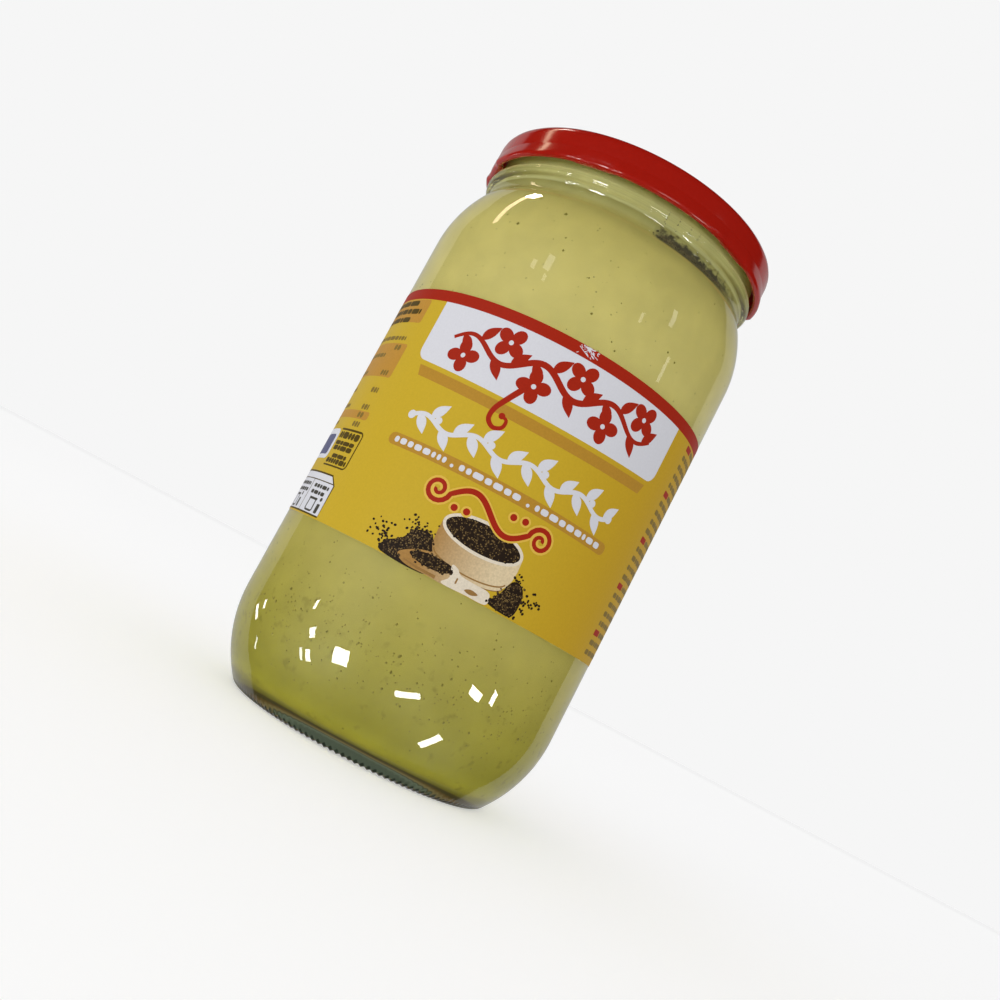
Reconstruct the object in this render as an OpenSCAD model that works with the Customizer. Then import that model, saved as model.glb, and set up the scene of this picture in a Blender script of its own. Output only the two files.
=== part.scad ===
// Mustard jar: a round glass jar with a lug cap, a paper wrap label and its filling.
// The jar stands on the ring under its base: Z is its axis and Z = 0 is the table.

/* [Glass body] */
// Diameter of the straight body
body_d = 90; // [84:1:120]
// Wall thickness of the glass from heel to neck
glass_wall = 2.8; // [2:0.1:4]
// Height at which the straight body ends and the shoulder starts
shoulder_h = 128; // [80:1:180]
// Radius of the rounded shoulder
shoulder_r = 32; // [16:1:40]

/* [Base] */
// Height at which the heel runs into the straight body
heel_h = 24; // [18:1:34]
// Radius of the long heel curve
heel_r = 37; // [28:1:44]
// Radius between the heel and the standing ring
foot_r = 2.5; // [1:0.1:4]
// Width of the flat ring that the jar stands on
stand_w = 3.5; // [2:0.1:6]
// Height of the dome under the base
dome_h = 2.2; // [0.5:0.1:3]
// Thickness of the base above the standing ring
base_t = 5.5; // [4:0.1:9]
// Radius of the inside corner between floor and heel
floor_r = 4; // [1:0.5:8]

/* [Neck] */
// Outer diameter of the neck below the bead
neck_d = 78.8; // [66:0.1:82]
// Radius of the hollow curve between shoulder and neck
root_r = 2.5; // [1:0.1:5]
// Straight height of the neck below the bead
neck_h = 2.4; // [1:0.1:8]
// How far the bead stands out from the neck
bead_out = 1.4; // [0.6:0.1:1.5]
// Radius of the bead's round section
bead_r = 1.6; // [1.5:0.1:3]
// Height of the mouth above the bead
mouth_h = 10.3; // [9:0.1:16]
// How far the mouth is set in from the neck
mouth_set_in = 0.4; // [0:0.1:0.6]
// Radius of the rounded edges of the rim
rim_r = 0.8; // [0.3:0.1:1]

/* [Cap] */
// Thickness of the enamelled sheet
cap_t = 0.5; // [0.3:0.1:0.8]
// Room between the mouth and the cap's skirt
cap_room = 2.4; // [2:0.1:4]
// Gap between the bead and the cap's lower edge
cap_gap = 0.9; // [0.3:0.1:2]
// Radius of the rolled edge
curl_r = 0.95; // [0.7:0.05:1.2]
// How far the rolled edge stands out from the skirt
curl_out = 0.6; // [0.2:0.1:0.8]
// Radius of the edge between skirt and top
cap_corner_r = 2.3; // [1:0.1:3]
// Depth of the sunken middle of the top
panel_drop = 0.9; // [0.3:0.1:1.5]
// Width of the slope down to the sunken middle
panel_slope = 1.8; // [1:0.1:4]
// Diameter of the raised button in the middle
button_d = 24; // [10:1:40]
// Height of the raised button
button_h = 0.5; // [0.2:0.1:0.8]
// Number of lugs on the rolled edge
lug_count = 6; // [3:1:8]
// Angle that one lug covers, in degrees
lug_angle = 15; // [8:1:24]
// How far a lug reaches in from the rolled edge
lug_in = 1.2; // [0.5:0.1:1.4]
// Turn of the first lug from the +X direction, in degrees
lug_turn = -111; // [-180:1:180]

/* [Mustard] */
// Level of the mustard below the rim
fill_drop = 4; // [2:0.5:20]
// Clearance between the mustard and the glass
fill_gap = 0.1; // [0.05:0.05:0.3]

/* [Label] */
// Distance from the heel up to the label's lower edge
label_low = 21.5; // [2:0.5:40]
// Distance from the label's upper edge up to the shoulder
label_high = 17.4; // [2:0.1:40]
// Thickness of the paper
paper_t = 0.15; // [0.1:0.05:0.4]
// Film of glue between paper and glass
glue_t = 0.03; // [0.02:0.01:0.1]

/* [Hidden] */
$fn = 180;

arc_steps = 12;
body_r = body_d / 2;
neck_r = neck_d / 2;
mouth_r = neck_r - mouth_set_in;
bore_r = neck_r - glass_wall;

// The shoulder and the hollow root of the neck touch where their centres
// are shoulder_r + root_r apart.
shoulder_x = body_r - shoulder_r;
root_x = neck_r + root_r;
root_h = shoulder_h + sqrt(pow(shoulder_r + root_r, 2) - pow(root_x - shoulder_x, 2));
root_a = atan2(root_h - shoulder_h, root_x - shoulder_x);

bead_x = neck_r + bead_out - bead_r;
bead_h = root_h + neck_h + bead_r;
rim_h = bead_h + bead_r + mouth_h;
fill_h = rim_h - fill_drop;

cap_low = bead_h + bead_r + cap_gap;
cap_top = rim_h + cap_t;
skirt_r = mouth_r + cap_room + cap_t;
curl_x = skirt_r + curl_out - curl_r;
curl_h = cap_low + curl_r;
panel_r = bore_r - panel_slope;
button_r = button_d / 2;
button_slope = 2 * button_h;

// Points on an arc about [x, z], from angle a0 to a1
function arc(x, z, r, a0, a1, n = arc_steps) =
    [for (i = [0:n]) let (a = a0 + (a1 - a0) * i / n) [x + r * cos(a), z + r * sin(a)]];

// Outline from the floor to the top of the neck, set in by d from the outside
// of the glass, standing on height z with a corner of radius r
function side(d, z, r) = let (
        heel_x = body_r - heel_r,
        reach = heel_r - d - r,
        foot_a = asin((z + r - heel_h) / reach),
        foot_x = heel_x + reach * cos(foot_a))
    concat(
        arc(foot_x, z + r, r, -90, foot_a),
        arc(heel_x, heel_h, heel_r - d, foot_a, 0),
        arc(shoulder_x, shoulder_h, shoulder_r - d, 0, root_a),
        arc(root_x, root_h, root_r + d, root_a + 180, 180));

// Radius at which the standing ring meets the foot
foot_reach = heel_r - foot_r;
stand_r = body_r - heel_r + sqrt(pow(foot_reach, 2) - pow(heel_h - foot_r, 2));
dome_edge = stand_r - stand_w;
dome_r = (pow(dome_edge, 2) + pow(dome_h, 2)) / (2 * dome_h);

// The bead from the neck to the mouth
bead_low_a = -acos((neck_r - bead_x) / bead_r);
bead_high_a = acos((mouth_r - bead_x) / bead_r);

module jar_outline() {
    dome_a = asin(dome_edge / dome_r);
    polygon(concat(
        arc(0, dome_h - dome_r, dome_r, 90, 90 - dome_a),
        side(0, 0, foot_r),
        arc(bead_x, bead_h, bead_r, bead_low_a, bead_high_a),
        arc(mouth_r - rim_r, rim_h - rim_r, rim_r, 0, 90),
        [[0, rim_h]]));
}

module hollow_outline() {
    over = 1;
    polygon(concat(
        [[0, base_t]],
        side(glass_wall, base_t, floor_r),
        arc(bore_r + rim_r, rim_h - rim_r, rim_r, 180, 90),
        [[bore_r + rim_r, rim_h + over], [0, rim_h + over]]));
}

// Clear glass, with a bead under the cap and a dome under the base
module jar() {
    color([0.80, 0.86, 0.78, 0.4])
        rotate_extrude()
            difference() {
                jar_outline();
                hollow_outline();
            }
}

// The filling, up to its level in the neck
module mustard() {
    set_in = glass_wall + fill_gap;
    color([0.72, 0.68, 0.34])
        rotate_extrude()
            polygon(concat(
                [[0, base_t + fill_gap]],
                side(set_in, base_t + fill_gap, floor_r),
                [[neck_r - set_in, fill_h], [0, fill_h]]));
}

// Top of the cap, set down by d: a flat ring over the rim, a sunken middle and a button
function cap_panel(d) = [
    [bore_r, cap_top - d],
    [panel_r, cap_top - panel_drop - d],
    [button_r + button_slope, cap_top - panel_drop - d],
    [button_r, cap_top - panel_drop + button_h - d],
    [0, cap_top - panel_drop + button_h - d]];

module cap_shell() {
    corner_x = skirt_r - cap_corner_r;
    corner_h = cap_top - cap_corner_r;
    inner_panel = cap_panel(cap_t);
    rotate_extrude()
        polygon(concat(
            [[skirt_r - cap_t, curl_h], [skirt_r, curl_h]],
            arc(corner_x, corner_h, cap_corner_r, 0, 90),
            cap_panel(0),
            [for (i = [len(inner_panel) - 1:-1:0]) inner_panel[i]],
            arc(corner_x, corner_h, cap_corner_r - cap_t, 90, 0)));
}

// Edge of the sheet rolled into a round bead
module cap_curl() {
    rotate_extrude()
        translate([curl_x, curl_h])
            circle(r = curl_r, $fn = 36);
}

// Stretch of the rolled edge pressed in to grip the thread
module cap_lug() {
    rotate([0, 0, -lug_angle / 2])
        rotate_extrude(angle = lug_angle)
            translate([curl_x - lug_in, curl_h]) {
                circle(r = curl_r, $fn = 36);
                translate([0, -curl_r])
                    square([lug_in, 2 * curl_r]);
            }
}

// Red enamelled lug cap, seated on the rim
module cap() {
    color([0.72, 0.08, 0.06]) {
        cap_shell();
        cap_curl();
        for (i = [0:lug_count - 1])
            rotate([0, 0, lug_turn + i * 360 / lug_count])
                cap_lug();
    }
}

// Paper wrapped once round the straight body
module label() {
    inner_r = body_r + glue_t;
    low_h = heel_h + label_low;
    high_h = shoulder_h - label_high;
    color([0.80, 0.64, 0.16])
        rotate_extrude()
            translate([inner_r, low_h])
                square([paper_t, high_h - low_h]);
}

jar();
mustard();
cap();
label();
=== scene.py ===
import math
import random

import bmesh
import bpy
from mathutils import Matrix, Vector


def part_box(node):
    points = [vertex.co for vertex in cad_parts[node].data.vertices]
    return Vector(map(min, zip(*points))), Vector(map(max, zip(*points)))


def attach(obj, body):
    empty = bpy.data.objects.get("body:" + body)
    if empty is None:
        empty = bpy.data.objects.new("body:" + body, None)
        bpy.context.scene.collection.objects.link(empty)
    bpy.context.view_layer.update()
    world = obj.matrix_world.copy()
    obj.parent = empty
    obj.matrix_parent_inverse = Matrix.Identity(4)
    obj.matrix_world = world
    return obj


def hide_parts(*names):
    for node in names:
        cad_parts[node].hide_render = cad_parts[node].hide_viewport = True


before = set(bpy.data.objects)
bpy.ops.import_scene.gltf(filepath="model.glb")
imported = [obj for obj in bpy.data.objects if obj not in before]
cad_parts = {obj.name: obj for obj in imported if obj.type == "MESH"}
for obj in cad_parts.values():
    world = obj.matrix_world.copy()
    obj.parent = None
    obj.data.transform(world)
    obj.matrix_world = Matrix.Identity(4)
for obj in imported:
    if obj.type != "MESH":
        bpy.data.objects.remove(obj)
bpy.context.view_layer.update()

# Lengths below are in millimetres; a mesh is brought to metres when it is finished. A place
# round the jar is an angle in degrees from the middle of its front, positive to the right.
MM = 0.001

jar_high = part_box("jar")[1] / MM
fill_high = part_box("mustard")[1] / MM
cap_low, cap_high = (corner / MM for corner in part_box("cap"))
label_low, label_high = (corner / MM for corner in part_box("label"))

BODY_R = round(jar_high.x, 1)
RIM_H = jar_high.z
WALL = 2.8
FLOOR_T, FLOOR_R = 5.5, 4

# Places that a mesh shares with its material
RIBS = 140  # ribs of the stippling on the standing ring, 1.6 mm apart
SHADE_BAND_H = 144.6  # the lower edge of the painted shade band inside the neck, where the paste stands off the glass


# ---------------------------------------------------------------- outlines

def arc(x, z, r, start, end, steps):
    """Points on an arc about (x, z), from one angle to another in degrees."""
    angles = [math.radians(start + (end - start) * i / steps) for i in range(steps + 1)]
    return [(x + r * math.cos(a), z + r * math.sin(a)) for a in angles]


def rounded(corners):
    """A line through (x, z, radius) corners, each rounded to its own radius."""
    steps = 5
    line = []
    for i, (x, z, radius) in enumerate(corners):
        here = Vector((x, z))
        if radius == 0 or i in (0, len(corners) - 1):
            line.append((x, z))
            continue
        before = (Vector(corners[i - 1][:2]) - here).normalized()
        after = (Vector(corners[i + 1][:2]) - here).normalized()
        half = before.angle(after) / 2
        reach = radius / math.tan(half)
        middle = here + (before + after).normalized() * radius / math.sin(half)
        first, last = here + before * reach, here + after * reach
        turn = (first - middle).angle_signed(last - middle)
        spoke = first - middle
        for k in range(steps + 1):
            line.append(tuple(middle + spoke_turned(spoke, -turn * k / steps)))
    return line


def spoke_turned(spoke, angle):
    """A flat vector turned by an angle in radians."""
    return Vector((spoke.x * math.cos(angle) - spoke.y * math.sin(angle),
                   spoke.x * math.sin(angle) + spoke.y * math.cos(angle)))


# Curves of the glass, the same as the jar is built to
HEEL_R, HEEL_H, FOOT_R = 37, 24, 2.5
SHOULDER_R, SHOULDER_H = 32, 128
NECK_R, ROOT_R = 39.4, 2.5
STAND_W, DOME_H = 3.5, 2.2
BEAD_R, BEAD_OUT, NECK_H = 1.6, 1.4, 2.4
MOUTH_R, RIM_R = 39.0, 0.8

heel_x = BODY_R - HEEL_R
shoulder_x = BODY_R - SHOULDER_R
root_x = NECK_R + ROOT_R
root_h = SHOULDER_H + math.sqrt((SHOULDER_R + ROOT_R) ** 2 - (root_x - shoulder_x) ** 2)
root_a = math.degrees(math.atan2(root_h - SHOULDER_H, root_x - shoulder_x))
bead_h = root_h + NECK_H + BEAD_R
bead_x = NECK_R + BEAD_OUT - BEAD_R


def side(inset, z, radius):
    """The jar's side from floor to neck, set in from the outside, with a corner at height z."""
    reach = HEEL_R - inset - radius
    foot_a = math.degrees(math.asin((z + radius - HEEL_H) / reach))
    foot_x = heel_x + reach * math.cos(math.radians(foot_a))
    line = arc(foot_x, z + radius, radius, -90, foot_a, 8)
    line += arc(heel_x, HEEL_H, HEEL_R - inset, foot_a, 0, 18)
    line += [(BODY_R - inset, level) for level in range(40, 126, 14)]
    line += arc(shoulder_x, SHOULDER_H, SHOULDER_R - inset, 0, root_a, 16)
    line += arc(root_x, root_h, ROOT_R + inset, root_a + 180, 180, 6)
    return line


# ---------------------------------------------------------------- meshes

def turned(outline, steps):
    """An outline of (radius, height) points turned round the Z axis: one wedge is spun,
    copied round and joined at its edges."""
    wedges = 20
    bm = bmesh.new()
    verts = [bm.verts.new((r, 0, z)) for r, z in outline]
    edges = [bm.edges.new(pair) for pair in zip(verts, verts[1:])]
    turn = {"axis": (0, 0, 1), "cent": (0, 0, 0)}
    bmesh.ops.spin(bm, geom=verts + edges, angle=math.tau / wedges,
                   steps=steps // wedges, **turn)
    bmesh.ops.spin(bm, geom=bm.verts[:] + bm.edges[:] + bm.faces[:], use_duplicate=True,
                   angle=math.tau * (wedges - 1) / wedges, steps=wedges - 1, **turn)
    bmesh.ops.remove_doubles(bm, verts=bm.verts, dist=0.001)
    bmesh.ops.recalc_face_normals(bm, faces=bm.faces)
    return bm


def placed(bm, name, finish):
    """A bmesh made an object in the scene, with its material."""
    mesh = bpy.data.meshes.new(name)
    bm.to_mesh(mesh)
    bm.free()
    mesh.materials.append(finish)
    made = bpy.data.objects.new(name, mesh)
    bpy.context.scene.collection.objects.link(made)
    return made


def finished(bm, name, finish, slot):
    """Makes a smooth piece of the jar, in metres, that rides with it."""
    bmesh.ops.scale(bm, vec=(MM, MM, MM), verts=bm.verts)
    piece = placed(bm, name, finish)
    piece.data.polygons.foreach_set("use_smooth", [True] * len(piece.data.polygons))
    # Light scattered in the paste softens the label's edge, so the label casts no shadow
    piece.visible_shadow = slot != "label_paper"
    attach(piece, "root")
    return piece


def azimuth(co):
    """Angle in degrees round the jar from the middle of its front, positive to the right."""
    return math.degrees(math.atan2(co.x, -co.y))


def swell(x, middle, half):
    """1 at the middle, falling smoothly to 0 at half to either side."""
    t = min(1, abs(x - middle) / half)
    return (1 - t * t) ** 2


# ---------------------------------------------------------------- materials

def colour(hex_value):
    """An sRGB hex value as a linear colour."""
    parts = [int(hex_value[i:i + 2], 16) / 255 for i in (1, 3, 5)]
    linear = [c / 12.92 if c <= 0.04045 else ((c + 0.055) / 1.055) ** 2.4 for c in parts]
    return (*linear, 1)


def add(tree, kind, inputs=None, **settings):
    """Adds a shader node; an input takes a value, or a socket that feeds it."""
    node = tree.nodes.new("ShaderNode" + kind)
    for name, value in settings.items():
        setattr(node, name, value)
    for name, value in (inputs or {}).items():
        if isinstance(value, bpy.types.NodeSocket):
            tree.links.new(value, node.inputs[name])
        else:
            node.inputs[name].default_value = value
    return node


def material(name):
    """A new material with an empty tree and its output node."""
    made = bpy.data.materials.new(name)
    made.use_nodes = True
    made.node_tree.nodes.clear()
    return made, made.node_tree, add(made.node_tree, "OutputMaterial")


def in_mm(tree):
    """Object coordinates in millimetres."""
    place = add(tree, "TexCoord")
    return add(tree, "Mapping", {"Vector": place.outputs["Object"],
                                 "Scale": (1000, 1000, 1000)}).outputs[0]


def flint_glass():
    """Pressed and blown flint glass: clear, with a faint green in its thick parts, and a
    slightly wavy skin that bends its reflections."""
    made, tree, out = material("flint_glass")
    place = in_mm(tree)
    xyz = add(tree, "SeparateXYZ", {0: place})
    # Painted shade: the stippled foot traps the light, so the glass's colour is darkened up to 1.3
    # mm on its ribs and 0.5 mm between them
    turn = add(tree, "Math", {0: xyz.outputs["Y"], 1: xyz.outputs["X"]}, operation="ARCTAN2")
    comb = add(tree, "Math", {0: turn.outputs[0], 1: RIBS}, operation="MULTIPLY")
    comb = add(tree, "Math", {0: comb.outputs[0]}, operation="COSINE")
    reach = add(tree, "MapRange", {"Value": comb.outputs[0], "From Min": -1, "From Max": 1,
                                   "To Min": 0.5, "To Max": 1.3})
    over = add(tree, "Math", {0: xyz.outputs["Z"], 1: reach.outputs[0]}, operation="SUBTRACT")
    unshaded = add(tree, "MapRange", {"Value": over.outputs[0], "From Min": 0, "From Max": 0.35,
                                   "To Min": 0.10, "To Max": 1})
    tint = add(tree, "VectorMath", {0: colour("#F1F7EF")[:3], "Scale": unshaded.outputs[0]},
               operation="SCALE")
    # The skin's waves are 14 mm across
    wave = add(tree, "TexNoise", {"Vector": place, "Scale": 1 / 14, "Detail": 1.0})
    skin = add(tree, "Bump", {"Height": wave.outputs[0], "Strength": 0.35, "Distance": 0.0002})
    glass = add(tree, "BsdfPrincipled", {
        "Base Color": tint.outputs[0], "Roughness": 0.0, "IOR": 1.5,
        "Transmission Weight": 1.0, "Normal": skin.outputs[0]})
    # Lamps reach the mustard through the wall, as they do through real glass
    clear = add(tree, "BsdfTransparent", {"Color": colour("#F4F8F2")})
    path = add(tree, "LightPath")
    mix = add(tree, "MixShader", {0: path.outputs["Is Shadow Ray"],
                                  1: glass.outputs[0], 2: clear.outputs[0]})
    tree.links.new(mix.outputs[0], out.inputs["Surface"])
    return made


def mustard_paste():
    """Ground mustard: a smooth wet paste, paler above and greener below, partly its own colour and
    partly painted light and shade, faintly mottled, with fine brown husk, and a painted dark band
    of shade where it stands off the glass at the root of the neck."""
    made, tree, out = material("mustard_paste")
    place = in_mm(tree)
    xyz = add(tree, "SeparateXYZ", {0: place})
    # The paste's shades from the floor up, partly its own colour and partly painted light: paler
    # high up and darker low down as the light falls, painted shade on the shoulder's top under the
    # cap, a painted brightening just above the floor against its shade, and painted pale and dark
    # rings behind the neck's bead in place of the bead's refraction
    height = add(tree, "MapRange", {"Value": xyz.outputs["Z"], "From Min": 0, "From Max": RIM_H})
    tone = add(tree, "ValToRGB", {"Fac": height.outputs[0]})
    stops = tone.color_ramp.elements
    stops[0].position, stops[0].color = 5.6 / RIM_H, colour("#B4A83C")
    stops[1].position, stops[1].color = 154.44 / RIM_H, colour("#B9AE5C")
    for z, hex_value in ((7.0, "#AAA02E"), (10, "#A2982C"), (20, "#B0A43B"), (42.07, "#C8B95E"),
                         (117.18, "#DECF82"), (140.22, "#D0C172"), (144.83, "#B9AC62"),
                         (147.23, "#C2BA74"), (149.64, "#A9A05C"), (150.14, "#D5D092"),
                         (151.44, "#BFB672"), (151.74, "#DCD48E")):
        stops.new(z / RIM_H).color = colour(hex_value)

    # Soft mottling about 8 mm across
    cloud = add(tree, "TexNoise", {"Vector": place, "Scale": 1 / 8, "Detail": 3.0})
    shade = add(tree, "MapRange", {"Value": cloud.outputs[0], "From Min": 0.35, "From Max": 0.7,
                                   "To Min": 0.94, "To Max": 1.04})
    mottled = add(tree, "VectorMath", {0: tone.outputs[0], "Scale": shade.outputs[0]},
                  operation="SCALE")

    # Smudges of husk 3 mm across, in the lower third
    smudge = add(tree, "TexNoise", {"Vector": place, "Scale": 1 / 3, "Detail": 2.0})
    dark = add(tree, "MapRange", {"Value": smudge.outputs[0], "From Min": 0.60, "From Max": 0.72,
                                  "To Max": 0.35})
    low = add(tree, "MapRange", {"Value": xyz.outputs["Z"], "From Min": 22, "From Max": 40,
                                 "To Min": 1, "To Max": 0})
    smudged = add(tree, "Math", {0: dark.outputs[0], 1: low.outputs[0]}, operation="MULTIPLY")
    base = add(tree, "Mix", {0: smudged.outputs[0], 6: mottled.outputs[0],
                             7: colour("#6C6420")}, data_type="RGBA")

    # Husk: grains of up to 0.6 mm, in one of every five cells of a 2.2 mm pattern
    cells = add(tree, "TexVoronoi", {"Vector": place, "Scale": 1 / 2.2})
    pick = add(tree, "SeparateXYZ", {0: cells.outputs["Color"]})
    grain = add(tree, "Math", {0: pick.outputs[1], 1: 0.13}, operation="MULTIPLY")
    within = add(tree, "Math", {0: cells.outputs["Distance"], 1: grain.outputs[0]},
                 operation="LESS_THAN")
    chosen = add(tree, "Math", {0: pick.outputs[0], 1: 0.20}, operation="LESS_THAN")
    husk = add(tree, "Math", {0: within.outputs[0], 1: chosen.outputs[0]}, operation="MULTIPLY")
    husk = add(tree, "Math", {0: husk.outputs[0], 1: 0.5}, operation="MULTIPLY")
    speckled = add(tree, "Mix", {0: husk.outputs[0], 6: base.outputs[2],
                                 7: colour("#57501C")}, data_type="RGBA")

    # Painted shade: a dark band about 3 mm high where the paste stands off the glass at the root
    # of the neck, crisp below and ragged above, that starts at 8 degrees and fades out from 42
    # degrees on
    back = add(tree, "Math", {0: xyz.outputs["Y"], 1: -1}, operation="MULTIPLY")
    round_jar = add(tree, "Math", {0: xyz.outputs["X"], 1: back.outputs[0]}, operation="ARCTAN2")
    starts = add(tree, "MapRange", {"Value": round_jar.outputs[0], "From Min": math.radians(8),
                                    "From Max": math.radians(12)})
    ends = add(tree, "MapRange", {"Value": round_jar.outputs[0], "From Min": math.radians(42),
                                  "From Max": math.radians(68), "To Min": 1, "To Max": 0})
    ragged = add(tree, "TexNoise", {"Vector": place, "Scale": 1 / 1.7, "Detail": 3.0,
                                    "Roughness": 0.5})
    edge = add(tree, "MapRange", {"Value": ragged.outputs[0], "From Min": 0.3, "From Max": 0.7,
                                  "To Min": -1.5, "To Max": 1.5})
    height_here = add(tree, "Math", {0: xyz.outputs["Z"], 1: edge.outputs[0]}, operation="ADD")
    under = add(tree, "MapRange", {"Value": height_here.outputs[0], "From Min": SHADE_BAND_H + 2.6,
                                   "From Max": SHADE_BAND_H + 4.5, "To Min": 1, "To Max": 0})
    over = add(tree, "MapRange", {"Value": xyz.outputs["Z"], "From Min": SHADE_BAND_H - 0.5,
                                  "From Max": SHADE_BAND_H})
    shade_band = under.outputs[0]
    for part in (over, starts, ends):
        shade_band = add(tree, "Math", {0: shade_band, 1: part.outputs[0]}, operation="MULTIPLY").outputs[0]
    dark_paint = add(tree, "Mix", {0: ragged.outputs[0], 6: colour("#1E1711"), 7: colour("#74694C")},
                data_type="RGBA")
    shade_banded = add(tree, "Mix", {0: shade_band, 6: speckled.outputs[2], 7: dark_paint.outputs[2]},
                  data_type="RGBA")

    # Underneath, painted with what the thick foot shows: a grey-green painted reflection of the
    # table's light through the glass, with a dark line of painted shade round its edge
    r = add(tree, "VectorMath", {0: add(tree, "CombineXYZ", {
        "X": xyz.outputs["X"], "Y": xyz.outputs["Y"]}).outputs[0]}, operation="LENGTH")
    ring = add(tree, "MapRange", {"Value": r.outputs["Value"], "From Min": 20, "From Max": 36})
    foot = add(tree, "ValToRGB", {"Fac": ring.outputs[0]})
    marks = foot.color_ramp.elements
    marks[0].position, marks[0].color = 0.0, colour("#55604F")
    marks[1].position, marks[1].color = 0.98, colour("#B4A83C")
    for at, hex_value in ((0.14, "#83907A"), (0.20, "#3E4232"), (0.26, "#B09A64"),
                          (0.38, "#7A5A1E"), (0.47, "#3A2F0A"), (0.58, "#4A3A0E"),
                          (0.68, "#9A8E30")):
        marks.new(at).color = colour(hex_value)
    beneath = add(tree, "Math", {0: xyz.outputs["Z"], 1: FLOOR_T}, operation="LESS_THAN")
    whole = add(tree, "Mix", {0: beneath.outputs[0], 6: shade_banded.outputs[2],
                              7: foot.outputs[0]}, data_type="RGBA")
    paste = add(tree, "BsdfPrincipled", {
        "Base Color": whole.outputs[2], "Roughness": 0.45, "IOR": 1.4})
    tree.links.new(paste.outputs[0], out.inputs["Surface"])
    return made


def stoving_enamel():
    """Red stoving enamel on tinplate: a hard glossy coat with a very fine orange peel, whose
    dimples are 1.2 mm across."""
    made, tree, out = material("stoving_enamel")
    peel = add(tree, "TexNoise", {"Vector": in_mm(tree), "Scale": 1 / 1.2, "Detail": 2.0})
    skin = add(tree, "Bump", {"Height": peel.outputs[0], "Strength": 0.12, "Distance": 0.0002})
    tint = add(tree, "Mix", {0: peel.outputs[0], 6: colour("#9A1509"), 7: colour("#A5180B")},
               data_type="RGBA")
    coat = add(tree, "BsdfPrincipled", {
        "Base Color": tint.outputs[2], "Roughness": 0.4, "Specular IOR Level": 0.0,
        "Coat Weight": 1.0, "Coat Roughness": 0.14, "Coat IOR": 1.5, "Normal": skin.outputs[0]})
    tree.links.new(coat.outputs[0], out.inputs["Surface"])
    return made


def coated_paper(name, hex_value, grain=0.05, rough=0.45, ripple=0.10, across=None):
    """Clay-coated label paper under one printed ink: an even satin surface with a faint
    ripple 3.5 mm across where the glue has drawn it, and a slight grain in the ink, drawn
    0.5 mm across so that it shows. An ink may shade over to a second colour: across holds
    that colour, where it starts and where it is reached."""
    made, tree, out = material(name)
    place = in_mm(tree)
    drawn = add(tree, "TexNoise", {"Vector": place, "Scale": 1 / 3.5, "Detail": 2.0})
    skin = add(tree, "Bump", {"Height": drawn.outputs[0], "Strength": ripple, "Distance": 0.0003})
    grit = add(tree, "TexNoise", {"Vector": place, "Scale": 1 / 0.5, "Detail": 2.0})
    shade = add(tree, "MapRange", {"Value": grit.outputs[0], "From Min": 0.3, "From Max": 0.7,
                                   "To Min": 1 - grain, "To Max": 1 + grain})
    tint = colour(hex_value)[:3]
    if across:
        xyz = add(tree, "SeparateXYZ", {0: place})
        along = add(tree, "MapRange", {"Value": xyz.outputs["X"], "From Min": across[1],
                                       "From Max": across[2]})
        tint = add(tree, "Mix", {0: along.outputs[0], 6: colour(hex_value),
                                 7: colour(across[0])}, data_type="RGBA").outputs[2]
    ink = add(tree, "VectorMath", {0: tint, "Scale": shade.outputs[0]}, operation="SCALE")
    paper = add(tree, "BsdfPrincipled", {
        "Base Color": ink.outputs[0], "Roughness": rough, "Specular IOR Level": 0.10,
        "Normal": skin.outputs[0]})
    tree.links.new(paper.outputs[0], out.inputs["Surface"])
    return made


def shade_and_smear_paint():
    """Painted shade where the paste stands off the inside of the glass, and the hairline smears
    behind the bead: matt and almost black-brown, in clots 0.8 mm across."""
    made, tree, out = material("shade_and_smear_paint")
    cloud = add(tree, "TexNoise", {"Vector": in_mm(tree), "Scale": 1 / 0.8, "Detail": 3.0})
    tone = add(tree, "Mix", {0: cloud.outputs[0], 6: colour("#2A221A"), 7: colour("#65583E")},
               data_type="RGBA")
    dark_paint = add(tree, "BsdfPrincipled", {"Base Color": tone.outputs[2], "Roughness": 0.8})
    tree.links.new(dark_paint.outputs[0], out.inputs["Surface"])
    return made


def seed_husk():
    """Ground seed husk in the paste: dull brown-green flakes, some paler than others."""
    made, tree, out = material("seed_husk")
    cloud = add(tree, "TexNoise", {"Vector": in_mm(tree), "Scale": 1 / 5, "Detail": 1.0})
    tone = add(tree, "Mix", {0: cloud.outputs[0], 6: colour("#7C7022"), 7: colour("#A0933F")},
               data_type="RGBA")
    husk = add(tree, "BsdfPrincipled", {"Base Color": tone.outputs[2], "Roughness": 0.6})
    tree.links.new(husk.outputs[0], out.inputs["Surface"])
    return made


# ---------------------------------------------------------------- the jar

RIB_STEPS = 4  # steps of the mesh to each rib
RIB_R, RIB_HALF, RIB_H = 34.8, 3.2, 1.6  # the middle of the ribs, half their length, their top
RIB_DEPTH, RIB_SET_IN = 0.5, 0.006  # depth between ribs, and how far the foot draws in there
MOULD_LINES = ((149.3, 0.16), (150.3, 0.10), (151.3, 0.12), (152.3, 0.16))  # heights and depths
MOULD_HALF = 0.35


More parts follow.
